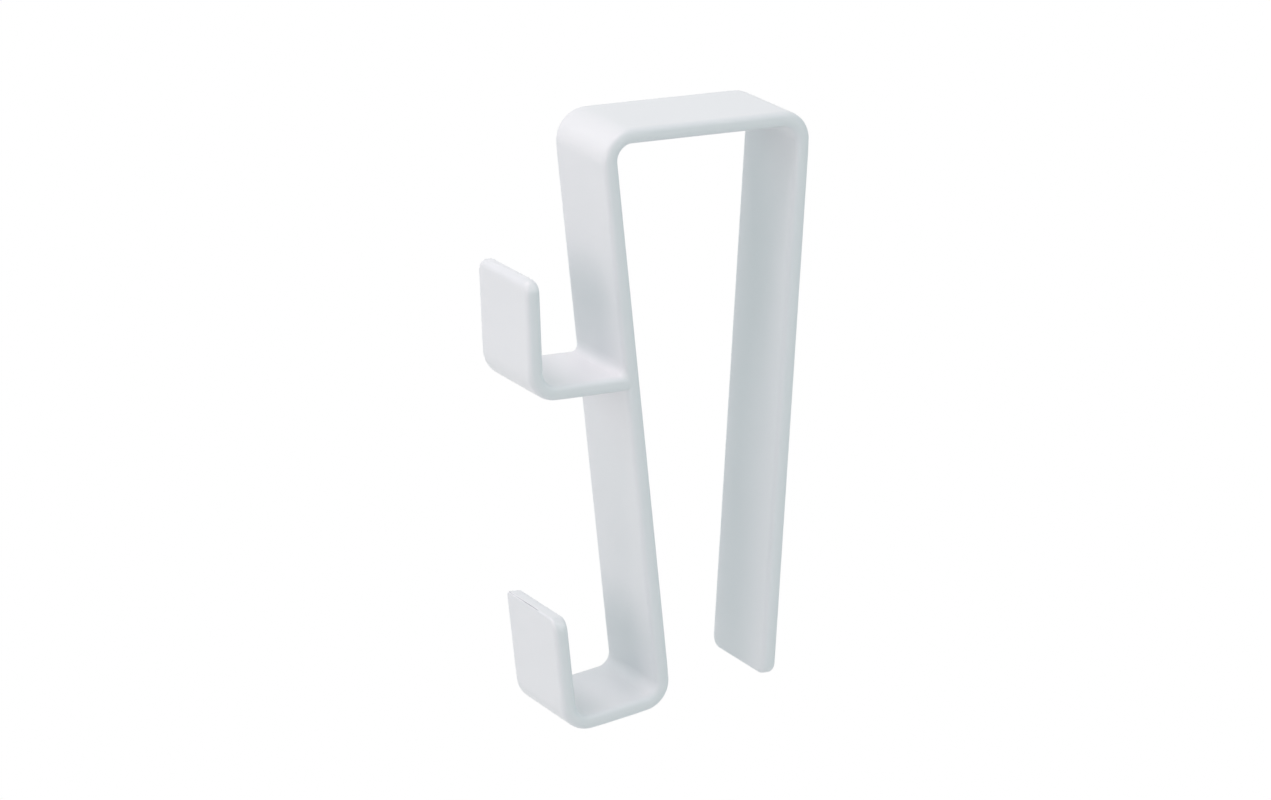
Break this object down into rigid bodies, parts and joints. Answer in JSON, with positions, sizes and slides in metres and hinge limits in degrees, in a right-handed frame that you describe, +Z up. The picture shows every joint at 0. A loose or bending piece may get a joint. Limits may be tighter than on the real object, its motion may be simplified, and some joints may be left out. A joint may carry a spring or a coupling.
{
  "type": "over door hook",
  "caption": "Flat-bar hanger that clips over the top edge of a door, with a square hook at the foot of its front leg and a welded hook on that leg's face.",
  "frame": {"origin": "middle of the underside of the top bar, where it sits on the door's top edge", "axes": "+X across the strap, +Y towards the back of the door, +Z up; both hooks are on the -Y side"},
  "size_m": [0.02, 0.0603, 0.1179],
  "materials": {
    "white_powder_coat": "semi-gloss powder coat"
  },
  "bodies": {
    "root": {"door_strap": "white_powder_coat", "upper_hook": "white_powder_coat", "weld_above": "white_powder_coat", "weld_below": "white_powder_coat"}
  },
  "joints": []
}
